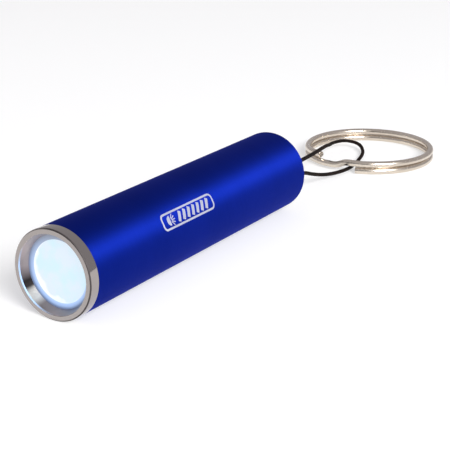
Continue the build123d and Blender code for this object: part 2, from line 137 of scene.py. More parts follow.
def lathe(name, outline, segments=160):
    """Turn a closed outline of (station, radius) in mm about the tube's axis. A radius of 0 makes a pole."""
    points = []
    faces = []
    rings = []
    for station, radius in outline:
        corners = 1 if radius == 0 else segments
        rings.append(range(len(points), len(points) + corners))
        for corner in range(corners):
            points.append(round_axis(station, radius, 2 * math.pi * corner / segments))
    for this, following in zip(rings, rings[1:] + rings[:1]):
        if len(this) == 1 and len(following) == 1:
            continue
        for segment in range(segments):
            beside = (segment + 1) % segments
            if len(this) == 1:
                faces.append((this[0], following[beside], following[segment]))
            elif len(following) == 1:
                faces.append((this[segment], this[beside], following[0]))
            else:
                faces.append((this[segment], this[beside], following[beside], following[segment]))
    return mesh_from(name, points, faces)


def transported(line):
    """Tangents and side vectors carried along a line without twist."""
    last = len(line) - 1
    tangents = [(line[min(i + 1, last)] - line[max(i - 1, 0)]).normalized() for i in range(len(line))]
    side = tangents[0].orthogonal().normalized()
    sides = []
    for tangent in tangents:
        side = (side - tangent * side.dot(tangent)).normalized()
        sides.append(side)
    return tangents, sides


def add_tube(points, faces, line, radii, segments, spokes=None):
    """Add a closed tube along a line.

    Each of the radii is one number, or a (high, broad) pair for a flat tube that stands along its spoke.
    """
    tangents, sides = transported(line)
    first = len(points)
    for index, centre in enumerate(line):
        across = sides[index]
        high = broad = radii[index]
        if spokes:
            high, broad = radii[index]
            across = spokes[index]
            across = (across - tangents[index] * across.dot(tangents[index])).normalized()
        beside = tangents[index].cross(across)
        for segment in range(segments):
            angle = 2 * math.pi * segment / segments
            points.append(centre + across * high * math.cos(angle) + beside * broad * math.sin(angle))
    for index in range(len(line) - 1):
        row = first + index * segments
        for segment in range(segments):
            beside = (segment + 1) % segments
            faces.append((row + segment, row + beside, row + segments + beside, row + segments + segment))
    last = first + (len(line) - 1) * segments
    faces.append(tuple(range(first + segments - 1, first - 1, -1)))
    faces.append(tuple(range(last, last + segments)))


BEVEL_STEPS = 3
BEVEL_CLEARANCE = 1.05


def wire(name, line, radius, bevel, segments, sharp_degrees):
    """A round wire along a line, with short bevelled cut ends."""
    start = (line[1] - line[0]).normalized()
    end = (line[-1] - line[-2]).normalized()
    turns = [math.pi / 2 * step / BEVEL_STEPS for step in range(BEVEL_STEPS + 1)]
    clear = bevel * BEVEL_CLEARANCE
    inner = [p for p in line if (p - line[0]).length > clear and (p - line[-1]).length > clear]
    path = [line[0] + start * bevel * (1 - math.cos(turn)) for turn in turns]
    path += inner
    path += [line[-1] - end * bevel * (1 - math.sin(turn)) for turn in turns]
    radii = [radius - bevel * (1 - math.sin(turn)) for turn in turns]
    radii += [radius] * len(inner)
    radii += [radius - bevel * (1 - math.cos(turn)) for turn in turns]
    points = []
    faces = []
    add_tube(points, faces, path, radii, segments)
    return mesh_from(name, points, faces, sharp_degrees)


# Material helpers

def new_material(name):
    """An empty node material with its Principled shader."""
    material = bpy.data.materials.new(name)
    material.use_nodes = True
    tree = material.node_tree
    return material, tree, tree.nodes["Principled BSDF"]


def node(tree, kind, **values):
    """Add a node and set its input sockets or settings by name."""
    made = tree.nodes.new(kind)
    for key, value in values.items():
        if key in made.inputs:
            made.inputs[key].default_value = value
        else:
            setattr(made, key, value)
    return made


def feed(tree, socket, value):
    """Give an input socket a value, or a link where the value is a socket."""
    if isinstance(value, bpy.types.NodeSocket):
        tree.links.new(value, socket)
    else:
        socket.default_value = value


def math_node(tree, operation, *values, use_clamp=False):
    """The result of a math node fed by sockets or numbers."""
    made = node(tree, "ShaderNodeMath", operation=operation, use_clamp=use_clamp)
    for socket, value in zip(made.inputs, values):
        feed(tree, socket, value)
    return made.outputs[0]


def product(tree, first, *others):
    """The product of two or more sockets or numbers."""
    for other in others:
        first = math_node(tree, "MULTIPLY", first, other)
    return first


def share_of(tree, value, full):
    """How much of the full amount a value reaches, from 0 to 1."""
    return math_node(tree, "DIVIDE", value, full, use_clamp=True)


def ramp(tree, source, stops):
    """A colour that follows a source through (position, colour) stops, in order."""
    made = node(tree, "ShaderNodeValToRGB")
    elements = made.color_ramp.elements
    for index in (0, -1):
        elements[index].position = stops[index][0]
        elements[index].color = (*stops[index][1], 1)
    for position, colour in stops[1:-1]:
        elements.new(position).color = (*colour, 1)
    tree.links.new(source, made.inputs["Fac"])
    return made.outputs["Color"]


def mixed(tree, share, first, second, blend_type="MIX"):
    """A mix of two colours, each a socket or a colour."""
    made = node(tree, "ShaderNodeMix", data_type="RGBA", blend_type=blend_type)
    factor, colour_a, colour_b = made.inputs[0], made.inputs[6], made.inputs[7]
    feed(tree, factor, share)
    feed(tree, colour_a, first)
    feed(tree, colour_b, second)
    return made.outputs[2]


def distance(tree, x, z):
    """How far a point is from the origin of two coordinates."""
    squared = math_node(tree, "ADD", math_node(tree, "MULTIPLY", x, x), math_node(tree, "MULTIPLY", z, z))
    return math_node(tree, "SQRT", squared)


def surface_place(tree):
    """A surface point's x and y, and its height over the tube's axis."""
    where = node(tree, "ShaderNodeTexCoord")
    apart = node(tree, "ShaderNodeSeparateXYZ")
    tree.links.new(where.outputs["Object"], apart.inputs["Vector"])
    x = apart.outputs["X"]
    z = math_node(tree, "SUBTRACT", apart.outputs["Z"], AXIS_Z)
    return x, apart.outputs["Y"], z


# Noise, in features per metre. Turned parts get marks that run round the tube, from stretched noise.
ROUND_THE_TUBE = (0.04, 1.0, 0.04)
ALL_WAYS = (1, 1, 1)
GRAIN_DEPTH = 0.01 * MM
GRAIN_DETAIL = 6.0
GRAIN_ROUGHNESS = 0.6
METAL_PATCHES = 90.0
PLASTIC_PATCHES = 160.0
NOISE_LOW = 0.35
NOISE_HIGH = 0.65


def noise_at(tree, scale, stretch=ALL_WAYS, detail=4.0, roughness=0.5):
    """Noise in the object's own space, with its scale in features per metre."""
    where = node(tree, "ShaderNodeTexCoord")
    mapping = node(tree, "ShaderNodeMapping", Scale=stretch)
    noise = node(tree, "ShaderNodeTexNoise", Scale=scale, Detail=detail, Roughness=roughness)
    tree.links.new(where.outputs["Object"], mapping.inputs["Vector"])
    tree.links.new(mapping.outputs["Vector"], noise.inputs["Vector"])
    return noise.outputs["Fac"]


def vary(tree, shader, socket, noise, low, high):
    """Drive a shader socket from noise, between two values or two colours."""
    if not isinstance(low, tuple):
        low = (low, low, low)
        high = (high, high, high)
    tree.links.new(ramp(tree, noise, [(NOISE_LOW, low), (NOISE_HIGH, high)]), shader.inputs[socket])


def texture(tree, shader, colours, roughness, scale, stretch, patches, bump, depth):
    """Colour and roughness that vary between two values each, over a fine bump of the same grain."""
    grain = noise_at(tree, scale, stretch, GRAIN_DETAIL, GRAIN_ROUGHNESS)
    relief = node(tree, "ShaderNodeBump", Strength=bump, Distance=depth)
    tree.links.new(grain, relief.inputs["Height"])
    tree.links.new(relief.outputs["Normal"], shader.inputs["Normal"])
    vary(tree, shader, "Base Color", noise_at(tree, patches, stretch), *colours)
    vary(tree, shader, "Roughness", grain, *roughness)


def metal(name, colours, roughness, scale, bump, stretch=ALL_WAYS, depth=GRAIN_DEPTH):
    """A metal with slight colour and roughness variation and fine grain."""
    material, tree, shader = new_material(name)
    shader.inputs["Metallic"].default_value = 1.0
    texture(tree, shader, colours, roughness, scale, stretch, METAL_PATCHES, bump, depth)
    return material


def plastic(name, colours, roughness, scale, bump, depth=GRAIN_DEPTH, specular=0.5):
    """A moulded plastic or rubber with a fine matt grain."""
    material, tree, shader = new_material(name)
    shader.inputs["Specular IOR Level"].default_value = specular
    texture(tree, shader, colours, roughness, scale, ALL_WAYS, PLASTIC_PATCHES, bump, depth)
    return material


def turned_round(material, amount, edge_tint):
    """Spread a metal's highlights along the tube, as turning marks do, and tint its grazing reflection."""
    tree = material.node_tree
    shader = tree.nodes["Principled BSDF"]
    tangent = node(tree, "ShaderNodeTangent", direction_type="RADIAL", axis="Y")
    tree.links.new(tangent.outputs["Tangent"], shader.inputs["Tangent"])
    shader.inputs["Anisotropic"].default_value = amount
    shader.inputs["Anisotropic Rotation"].default_value = 0.25
    shader.inputs["Specular Tint"].default_value = (*edge_tint, 1)


# Metals: two colours, two roughnesses, grain in features per metre and its bump

anodised_blue = metal(
    "anodised_blue", [(0.0045, 0.0195, 0.285), (0.0055, 0.0215, 0.310)], (0.65, 0.70), 9000.0, 0.06,
    stretch=ROUND_THE_TUBE,
)
turned_round(anodised_blue, 0.85, (0.9, 0.9, 1.0))
bezel_chrome = metal(
    "bezel_chrome", [(0.37, 0.335, 0.32), (0.40, 0.365, 0.35)], (0.07, 0.12), 5000.0, 0.03,
    stretch=ROUND_THE_TUBE, depth=GRAIN_DEPTH / 2,
)
bare_aluminium = metal(
    "bare_aluminium", [(0.55, 0.55, 0.55), (0.66, 0.66, 0.66)], (0.25, 0.38), 7000.0, 0.08,
    stretch=ROUND_THE_TUBE,
)
cell_nickel = metal(
    "cell_nickel", [(0.58, 0.57, 0.54), (0.68, 0.66, 0.62)], (0.16, 0.28), 4000.0, 0.06,
    stretch=ROUND_THE_TUBE,
)
ring_nickel = metal("ring_nickel", [(0.66, 0.585, 0.50), (0.74, 0.665, 0.575)], (0.20, 0.28), 2500.0, 0.05)
spring_steel = metal("spring_steel", [(0.50, 0.49, 0.47), (0.60, 0.59, 0.56)], (0.18, 0.30), 3000.0, 0.05)
contact_brass = metal("contact_brass", [(0.62, 0.42, 0.12), (0.75, 0.54, 0.18)], (0.18, 0.32), 3500.0, 0.06)
reflector_metal = metal(
    "reflector_metal", [(0.80, 0.82, 0.85), (0.88, 0.90, 0.93)], (0.04, 0.09), 2000.0, 0.02
)
tinned_wire = metal("tinned_wire", [(0.55, 0.55, 0.54), (0.68, 0.68, 0.66)], (0.22, 0.36), 5000.0, 0.08)

# Plastics, rubber, nylon and ink, in the same order of values

white_plastic = plastic(
    "white_plastic", [(0.66, 0.66, 0.62), (0.74, 0.74, 0.70)], (0.38, 0.5), 6000.0, 0.08
)
black_plastic = plastic(
    "black_plastic", [(0.010, 0.010, 0.011), (0.018, 0.018, 0.019)], (0.38, 0.55), 9000.0, 0.20,
    depth=GRAIN_DEPTH * 2,
)
button_rubber = plastic(
    "button_rubber", [(0.012, 0.012, 0.013), (0.022, 0.022, 0.023)], (0.6, 0.75), 12000.0, 0.25,
    depth=GRAIN_DEPTH * 2, specular=0.35,
)
board_laminate = plastic(
    "board_laminate", [(0.008, 0.075, 0.025), (0.012, 0.11, 0.035)], (0.3, 0.42), 5000.0, 0.08
)
resistor_ceramic = plastic(
    "resistor_ceramic", [(0.012, 0.012, 0.012), (0.02, 0.02, 0.02)], (0.45, 0.55), 5000.0, 0.08
)
cord_nylon = plastic(
    "cord_nylon", [(0.005, 0.0024, 0.0018), (0.013, 0.0065, 0.005)], (0.65, 0.8), 14000.0, 0.20,
    depth=GRAIN_DEPTH * 2, specular=0.12,
)
print_silver = plastic(
    "print_silver", [(0.34, 0.35, 0.44), (0.40, 0.41, 0.50)], (0.32, 0.45), 15000.0, 0.10,
    depth=GRAIN_DEPTH / 2,
)


# Lit parts, the lens's and gasket's painted light and shade, and the bezel's painted reflections: places in
# mm from the tube's axis, noise in features per metre

# The lens's crescent is a painted reflection: the reflector's bright inner wall, seen through the lens at one
# side
CRESCENT_CENTRE = (1.2, 0.7)
CRESCENT_RADIUS = 5.6
CRESCENT_SOFTNESS = 0.6
CRESCENT_WOBBLE = 2.4
CRESCENT_NOISE = 420.0
CLOUD_NOISE = 300.0
GLOW_REACH = 0.9
GLOW_WOBBLE = 0.1
GLOW_NOISE = 500.0
DIE_NOISE = 700.0
THROAT_DEPTH = 0.03
THROAT_MARGIN = 0.01
THROAT_DULLNESS = 0.25
# The outer edge's painted dark reflection, and the throat edge's painted blue glint of the lamp
EDGE_START = 7.78
EDGE_DEPTH = 0.2
EDGE_FADE = 4.0
EDGE_DULLNESS = 0.5
EDGE_DARK_REFLECTION = (0.09, 0.08, 0.08, 1)
# Painted reflection of the lamp's blue light on the throat's edge
GLINT_WIDTH = 0.12
GLINT_PAINTED_REFLECTION = (0.55, 0.72, 0.98, 1)
# Painted reflections in the throat's chrome: a dark band and a bright band, by the angle round the axis
THROAT_END_REFLECTION = (0.42, 0.34, 0.33)
THROAT_REFLECTION_BANDS = [
    (0.0, THROAT_END_REFLECTION),
    (0.030, (0.24, 0.20, 0.20)),
    (0.060, (0.025, 0.022, 0.022)),
    (0.085, (0.025, 0.022, 0.022)),
    (0.115, (0.50, 0.49, 0.47)),
    (0.140, (0.72, 0.72, 0.70)),
    (0.175, (0.26, 0.23, 0.23)),
    (0.250, (0.26, 0.24, 0.25)),
    (0.500, (0.36, 0.32, 0.32)),
    (0.850, (0.52, 0.42, 0.40)),
    (1.0, THROAT_END_REFLECTION),
]


def make_lens_material():
    """Clear acrylic lit from behind: a cloudy glow, with a ragged bright crescent at one side, a painted
    reflection of the reflector's bright wall.
    """
    material, tree, shader = new_material("lens_lit")
    x, _, z = surface_place(tree)
    x_off = math_node(tree, "SUBTRACT", x, CRESCENT_CENTRE[0] * MM)
    z_off = math_node(tree, "SUBTRACT", z, CRESCENT_CENTRE[1] * MM)
    ragged = math_node(tree, "SUBTRACT", noise_at(tree, CRESCENT_NOISE), 0.5)
    wobble = product(tree, ragged, CRESCENT_WOBBLE * MM)
    away = math_node(tree, "ADD", distance(tree, x_off, z_off), wobble)
    past = math_node(tree, "SUBTRACT", away, CRESCENT_RADIUS * MM)
    share = math_node(tree, "DIVIDE", past, CRESCENT_SOFTNESS * MM)
    # Painted reflection: white past the crescent's edge, pale cyan glow inside it
    glow = ramp(tree, share, [(0.0, (0.68, 0.85, 0.94)), (1.0, (0.93, 1.0, 1.0))])
    tones = ramp(tree, noise_at(tree, CLOUD_NOISE), [(0.4, (0.97, 1.0, 1.0)), (0.6, (1.1, 0.985, 0.99))])
    tree.links.new(mixed(tree, 1.0, glow, tones, "MULTIPLY"), shader.inputs["Emission Color"])
    shader.inputs["Emission Strength"].default_value = 0.97
    shader.inputs["Base Color"].default_value = (0.05, 0.07, 0.09, 1)
    shader.inputs["Roughness"].default_value = 0.12
    shader.inputs["IOR"].default_value = 1.49
    shader.inputs["Specular IOR Level"].default_value = 0.15
    return material


def make_gasket_material():
    """Translucent silicone with a painted periwinkle glow of the lamp's light, brighter at the lens, and
    painted shade that darkens it towards the top.
    """
    material, tree, shader = new_material("gasket_painted_glow")
    x, _, z = surface_place(tree)
    wobble = product(tree, noise_at(tree, GLOW_NOISE), GLOW_WOBBLE * MM)
    away = math_node(tree, "ADD", distance(tree, x, z), wobble)
    share = math_node(tree, "DIVIDE", math_node(tree, "SUBTRACT", away, LENS_EYE * MM), GLOW_REACH * MM)
    stops = [(0.1, (0.44, 0.61, 0.93)), (0.6, (0.28, 0.41, 0.68)), (0.95, (0.11, 0.15, 0.26))]
    # Painted shade: the painted glow turns grey towards the top of the ring
    height = math_node(tree, "ADD", z, LENS_RADIUS * MM)
    height = math_node(tree, "DIVIDE", height, 2 * LENS_RADIUS * MM)
    shade = math_node(tree, "POWER", height, 2.0)
    glow = mixed(tree, shade, ramp(tree, share, stops), (0.22, 0.23, 0.26, 1))
    tree.links.new(glow, shader.inputs["Emission Color"])
    shader.inputs["Emission Strength"].default_value = 1.0
    shader.inputs["Base Color"].default_value = (0.05, 0.07, 0.12, 1)
    shader.inputs["Roughness"].default_value = 0.35
    return material


def make_led_material():
    """Clear epoxy over a lit die."""
    material, tree, shader = new_material("led_lit")
    vary(tree, shader, "Emission Color", noise_at(tree, DIE_NOISE), (0.70, 0.88, 1.0), (0.9, 0.98, 1.0))
    shader.inputs["Emission Strength"].default_value = 3.0
    shader.inputs["Roughness"].default_value = 0.08
    return material


def painted_throat_reflection(tree, x, y, z, radius):
    """Where the throat's cone is, and its painted reflections: a dark and a bright band on its way round."""
    inside = math_node(tree, "LESS_THAN", radius, (FACE_INNER - THROAT_MARGIN) * MM)
    behind = math_node(tree, "GREATER_THAN", y, FRONT_Y + THROAT_DEPTH * MM)
    turn = math_node(tree, "DIVIDE", math_node(tree, "ARCTAN2", z, x), 2 * math.pi)
    painted_bands = ramp(tree, math_node(tree, "ADD", turn, 0.5), THROAT_REFLECTION_BANDS)
    return product(tree, inside, behind), painted_bands


def painted_edge_masks(tree, x, y, z, radius):
    """Where the outer edge gets a painted dark reflection, on the right, and where the throat's edge gets a
    painted blue glint of the lamp, at the lower left.
    """
    in_front = math_node(tree, "LESS_THAN", y, FRONT_Y + EDGE_DEPTH * MM)
    outside = math_node(tree, "GREATER_THAN", radius, EDGE_START * MM)
    right_side = share_of(tree, math_node(tree, "ADD", x, EDGE_FADE * MM), EDGE_FADE * MM)
    edge = product(tree, outside, in_front, right_side)
    off_inner = math_node(tree, "ABSOLUTE", math_node(tree, "SUBTRACT", radius, FACE_INNER * MM))
    near_inner = math_node(tree, "LESS_THAN", off_inner, GLINT_WIDTH * MM)
    left_side = share_of(tree, x, -EDGE_FADE * MM)
    low_side = share_of(tree, math_node(tree, "SUBTRACT", z, EDGE_FADE * MM), -EDGE_FADE * MM)
    return edge, product(tree, near_inner, in_front, left_side, low_side)


def paint_bezel_reflections():
    """Paint reflections on the bezel's plate: dark and bright bands in a duller throat, a dark outer edge and
    a blue glint of the lamp on the throat's edge.
    """
    tree = bezel_chrome.node_tree
    shader = tree.nodes["Principled BSDF"]
    plate = shader.inputs["Base Color"].links[0].from_socket
    polish = shader.inputs["Roughness"].links[0].from_socket
    x, y, z = surface_place(tree)
    radius = distance(tree, x, z)
    throat, painted_bands = painted_throat_reflection(tree, x, y, z, radius)
    edge, glint = painted_edge_masks(tree, x, y, z, radius)
    # Painted reflections: bands in the throat, a dark outer edge and a blue glint on the throat's edge
    shades = mixed(tree, throat, plate, painted_bands)
    shades = mixed(tree, edge, shades, EDGE_DARK_REFLECTION)
    shades = mixed(tree, glint, shades, GLINT_PAINTED_REFLECTION)
    tree.links.new(shades, shader.inputs["Base Color"])
    duller = math_node(tree, "ADD", product(tree, throat, THROAT_DULLNESS), polish)
    soft_edges = product(tree, math_node(tree, "ADD", edge, glint), EDGE_DULLNESS)
    tree.links.new(math_node(tree, "ADD", soft_edges, duller), shader.inputs["Roughness"])


paint_bezel_reflections()
lens_lit = make_lens_material()
gasket_painted_glow = make_gasket_material()
led_lit = make_led_material()


# Camera: it looks down at the torch from the front right

CAMERA_TARGET = Vector((0, 17.18, 1.15)) * MM
CAMERA_AZIMUTH = math.radians(32.45)
CAMERA_ELEVATION = math.radians(19.4)
CAMERA_DISTANCE = 245.9 * MM


def make_camera():
    """A camera that looks at the target from an azimuth towards +X and -Y, and an elevation."""
    data = bpy.data.cameras.new("camera")
    data.lens = 100
    data.sensor_width = 36
    data.clip_start = 1 * MM
    camera = bpy.data.objects.new("camera", data)
    bpy.context.scene.collection.objects.link(camera)
    level = math.cos(CAMERA_ELEVATION)
    x = math.sin(CAMERA_AZIMUTH) * level
    y = -math.cos(CAMERA_AZIMUTH) * level
    back = Vector((x, y, math.sin(CAMERA_ELEVATION)))
    camera.location = CAMERA_TARGET + back * CAMERA_DISTANCE
    camera.rotation_mode = "QUATERNION"
    camera.rotation_quaternion = (-back).to_track_quat("-Z", "Y")
    bpy.context.scene.camera = camera


make_camera()


# Cord: the loop's own route, the same points as the solid's, in metres

LOOP_ROUTE = [
    (0.0052, 0.03405, 0.0102),
    (0.0051, 0.0364, 0.0099),
    (0.0041, 0.0400, 0.0093),
    (0.0027, 0.0447, 0.0085),
    (0.0011, 0.0501, 0.0076),
    (-0.0006, 0.0558, 0.0067),
    (-0.0024, 0.0617, 0.0058),
    (-0.0044, 0.0674, 0.0047),
    (-0.0064, 0.0729, 0.0033),
    (-0.0083, 0.0782, 0.0023),
    (-0.0076, 0.0831, 0.0019),
    (-0.0040, 0.0839, 0.0014),
    (-0.0008, 0.0798, 0.0007),
    (0.0008, 0.0739, 0.00046),
    (0.0020, 0.0677, 0.00045),
    (0.0021, 0.0617, 0.0009),
    (0.0018, 0.0555, 0.0018),
    (0.0016, 0.0501, 0.0033),
    (0.0020, 0.0454, 0.0050),
    (0.0038, 0.0404, 0.0060),
    (0.0050, 0.0365, 0.0065),
    (0.0052, 0.03405, 0.0067),
]
BIGHT_ROUTE = [
    (0.0052, 0.0330, 0.0102),
    (0.0052, 0.0318, 0.0102),
    (0.0052, 0.0306, 0.0100),
    (0.0052, 0.0306, 0.0084),
    (0.0052, 0.0306, 0.0069),
    (0.0052, 0.0318, 0.0067),
    (0.0052, 0.0330, 0.0067),
]
BRAID_STRANDS = 4
BRAID_PITCH = 3.0 * MM
BRAID_STEPS = 24
BRAID_RADIUS = 0.36 * MM
BRAID_HIGH = 0.045 * MM
BRAID_BROAD = 0.16 * MM
BRAID_WEAVE = 0.02 * MM
BRAID_SEGMENTS = 12
STRAND_SEGMENTS = 6


def nurbs_line(route):
    """The points of a smooth NURBS curve that has the route's points as its control points."""
    data = bpy.data.curves.new("route", "CURVE")
    data.dimensions = "3D"
    data.resolution_u = 24
    spline = data.splines.new("NURBS")
    spline.points.add(len(route) - 1)
    for point, corner in zip(spline.points, route):
        point.co = (*corner, 1)
    spline.order_u = 3
    spline.use_endpoint_u = True
    holder = bpy.data.objects.new("route", data)
    mesh = bpy.data.meshes.new_from_object(holder)
    line = [vertex.co.copy() for vertex in mesh.vertices]
    bpy.data.objects.remove(holder)
    bpy.data.meshes.remove(mesh)
    bpy.data.curves.remove(data)
    return line


def evenly(line, step):
    """The same line with points about a step apart, and the distance between them."""
    along = [0.0]
    for this, following in zip(line, line[1:]):
        along.append(along[-1] + (following - this).length)
    count = max(2, round(along[-1] / step))
    points = []
    index = 0
    for number in range(count + 1):
        wanted = along[-1] * number / count
        while index < len(line) - 2 and along[index + 1] < wanted:
            index += 1
        share = (wanted - along[index]) / (along[index + 1] - along[index])
        points.append(line[index].lerp(line[index + 1], min(max(share, 0), 1)))
    return points, along[-1] / count


def braided(name, line):
    """A round braid along a line: a core and two sets of flat strands that pass over and under each other."""
    fine, step = evenly(line, BRAID_PITCH / BRAID_STEPS)
    tangents, sides = transported(fine)
    points = []
    faces = []
    add_tube(points, faces, fine, [BRAID_RADIUS] * len(fine), BRAID_SEGMENTS)
    for direction in (1, -1):
        for strand in range(BRAID_STRANDS):
            path = []
            spokes = []
            for index, centre in enumerate(fine):
                turn = index * step / BRAID_PITCH
                angle = 2 * math.pi * (direction * turn + strand / BRAID_STRANDS)
                weave = math.cos(2 * math.pi * (BRAID_STRANDS * turn + strand / 2)) * direction
                spoke = sides[index] * math.cos(angle) + tangents[index].cross(sides[index]) * math.sin(angle)
                path.append(centre + spoke * (BRAID_RADIUS + BRAID_WEAVE * weave))
                spokes.append(spoke)
            flat = [(BRAID_HIGH, BRAID_BROAD)] * len(path)
            add_tube(points, faces, path, flat, STRAND_SEGMENTS, spokes)
    return mesh_from(name, points, faces, sharp_degrees=80)


loop_line = nurbs_line(LOOP_ROUTE)
loop = place(braided("cord_loop_braid", loop_line), cord_nylon, "lanyard", ["cord_loop"])
bight_braid = braided("cord_bight_braid", nurbs_line(BIGHT_ROUTE))
bight = place(bight_braid, cord_nylon, "torch_body", ["cord_bight"])


# Split ring: the same wire path as the solid's. Sizes and heights in mm, angles in degrees.

RING_WIRE_RADIUS = 0.725
RING_WIRE_BEVEL = 0.12
RING_CENTRE = Vector((0.7, 79.3))
RING_RADIUS = 14.3
RING_LAYER_RISE = 1.52
RING_START = 284
RING_STEP = 3.0
KINK_STEP = 1.5
KINK_START = 540
KINK_END = 660
FULL_TURN = 360
RISE_STEPS = [(205, 0.0), (235, 0.38), (255, 0.52), (266, 0.75), (275, 1.56), (290, RING_LAYER_RISE)]
TAIL_LIFT = [(205, 0.0), (247, 0.55)]


def eased(steps, angle):
    """A smooth curve through (angle, height) steps, level at both ends."""
    angle = min(max(angle, steps[0][0]), steps[-1][0])
    slopes = [0.0]
    for before, after in zip(steps, steps[2:]):
        slopes.append((after[1] - before[1]) / (after[0] - before[0]))
    slopes.append(0.0)
    index = 0
    while angle > steps[index + 1][0]:
        index += 1
    low, high = steps[index], steps[index + 1]
    width = high[0] - low[0]
    t = (angle - low[0]) / width
    rise = (2 * t**3 - 3 * t**2 + 1) * low[1] + (3 * t**2 - 2 * t**3) * high[1]
    lean = (t**3 - 2 * t**2 + t) * slopes[index] + (t**3 - t**2) * slopes[index + 1]
    return rise + width * lean


def ring_line():
    """The wire's centre: a low turn, a rise over its own cut end, and a high turn."""
    line = []
    angle = float(RING_START)
    while angle <= 2 * FULL_TURN + TAIL_LIFT[-1][0]:
        if angle <= FULL_TURN + RISE_STEPS[-1][0]:
            rise = eased(RISE_STEPS, angle - FULL_TURN)
        else:
            rise = RING_LAYER_RISE + eased(TAIL_LIFT, angle - 2 * FULL_TURN)
        turn = math.radians(angle)
        x = RING_CENTRE.x + RING_RADIUS * math.cos(turn)
        y = RING_CENTRE.y + RING_RADIUS * math.sin(turn)
        line.append(Vector((x, y, RING_WIRE_RADIUS + rise)) * MM)
        angle += KINK_STEP if KINK_START < angle < KINK_END else RING_STEP
    return line


split_ring = wire(
    "split_ring_wire", ring_line(), RING_WIRE_RADIUS * MM, RING_WIRE_BEVEL * MM, segments=28, sharp_degrees=40
)
place(split_ring, ring_nickel, "key_ring", ["split_ring"])


# Body tube, with the thread of its front seat. Stations and radii in mm.

RIM_LENGTH = 2.12
SEAT_GAP = 0.02
SEAT_ROOT = 7.62
SEAT_CREST = 7.40
SEAT_END = 6.9
BORE_RADIUS = 7.0
PLUG_SEAT = 59.0
PLUG_BORE = 7.25
NECK_ROOT = 7.12
NECK_CREST = 7.35
NECK_END = 6.5
NECK_INNER = 6.85
THREAD_PITCH = 0.75
THREAD_FOOT = 0.42 * THREAD_PITCH
THREAD_TIP = 0.08 * THREAD_PITCH
THREAD_SEGMENTS = 96
SEAT_THREAD = (RIM_LENGTH + 0.4, SEAT_END - 0.3)
NECK_THREAD = (RIM_LENGTH + 0.5, NECK_END - 0.35)
TURNED_SEGMENTS = 192


def thread(name, root, crest, stations, shift=0.0):
    """A helical ridge from a root radius to a crest radius, fading out over half a turn at both ends."""
    first, last = stations
    turns = (last - first) / THREAD_PITCH
    steps = round(turns * THREAD_SEGMENTS)
    points = []
    faces = []
    for step in range(steps + 1):
        share = step / steps
        angle = 2 * math.pi * (turns * share + shift)
        station = first + (last - first) * share
        fade = min(1.0, share * turns * 2, (1 - share) * turns * 2)
        top = root + (crest - root) * fade
        section = [(-THREAD_FOOT, root), (-THREAD_TIP, top), (THREAD_TIP, top), (THREAD_FOOT, root)]
        for offset, radius in section:
            points.append(round_axis(station + offset, radius, angle))
    for step in range(steps):
        row = step * 4
        for corner in range(4):
            beside = (corner + 1) % 4
            faces.append((row + corner, row + beside, row + 4 + beside, row + 4 + corner))
    end = steps * 4
    faces.append((0, 1, 2, 3))
    faces.append((end + 3, end + 2, end + 1, end))
    return mesh_from(name, points, faces, sharp_degrees=20)


tube_outline = rounded(
    [
        (RIM_LENGTH + SEAT_GAP, TUBE_OUTER, 0.12),
        (TUBE_END, TUBE_OUTER, 0.6),
        (TUBE_END, PLUG_BORE, 0.06),
        (PLUG_SEAT, PLUG_BORE, 0),
        (PLUG_SEAT, BORE_RADIUS, 0),
        (SEAT_END, BORE_RADIUS, 0.05),
        (SEAT_END, SEAT_ROOT, 0),
        (RIM_LENGTH + SEAT_GAP, SEAT_ROOT, 0.06),
    ],
    steps=6,
)
tube_shell = lathe("tube_shell", tube_outline, TURNED_SEGMENTS)
place(tube_shell, anodised_blue, "torch_body", ["body_tube"])
tube_thread = thread("tube_thread", SEAT_ROOT, SEAT_CREST, SEAT_THREAD, shift=0.5)
place(tube_thread, bare_aluminium, "torch_body")


# Bezel: chromed rim with a conical throat, its threaded neck, and the gasket behind its lip

rim_outline = rounded(
    [
        (0, FACE_INNER, 0.1),
        (LIP_STATION, LIP_RADIUS, 0.04),
        (LIP_STATION, NECK_INNER, 0),
        (NECK_END, NECK_INNER, 0.06),
        (NECK_END, NECK_ROOT, 0.08),
        (RIM_LENGTH, NECK_ROOT, 0),
        (RIM_LENGTH, TUBE_OUTER, 0.05),
        (0, TUBE_OUTER, RIM_ROUND),
    ],
    steps=6,
)
bezel_rim = lathe("bezel_rim", rim_outline, TURNED_SEGMENTS)
place(bezel_rim, bezel_chrome, "bezel", ["bezel_ring"])
place(thread("bezel_thread", NECK_ROOT, NECK_CREST, NECK_THREAD), bezel_chrome, "bezel")

gasket_outline = rounded(
    [
        (LIP_STATION + SEAT_GAP, LENS_RADIUS, 0),
        (LIP_STATION + SEAT_GAP, LIP_RADIUS, 0),
        (LENS_FRONT - 3 * SEAT_GAP, LENS_EYE, 0.01),
        (LENS_FRONT - SEAT_GAP, LENS_EYE, 0),
        (LENS_FRONT - SEAT_GAP, LENS_RADIUS, 0),
    ],
    steps=2,
)
place(lathe("gasket_ring", gasket_outline), gasket_painted_glow, "bezel", ["lens_gasket"])


# Lens

DOME_MARGIN = 0.1
DOME_STEPS = 16


def lens_outline():
    """A disc whose front swells into a shallow dome, with a small bevel round its edge."""
    dome = LENS_EYE - DOME_MARGIN
    sphere = (dome**2 + LENS_DOME**2) / (2 * LENS_DOME)
    outline = []
    for step in range(DOME_STEPS + 1):
        radius = dome * step / DOME_STEPS
        outline.append((LENS_FRONT - LENS_DOME + sphere - math.sqrt(sphere**2 - radius**2), radius))
    outline += [
        (LENS_FRONT, LENS_RADIUS - LENS_BEVEL),
        (LENS_FRONT + LENS_BEVEL, LENS_RADIUS),
        (LENS_BACK - LENS_BEVEL, LENS_RADIUS),
        (LENS_BACK, LENS_RADIUS - LENS_BEVEL),
        (LENS_BACK, 0),
    ]
    return outline


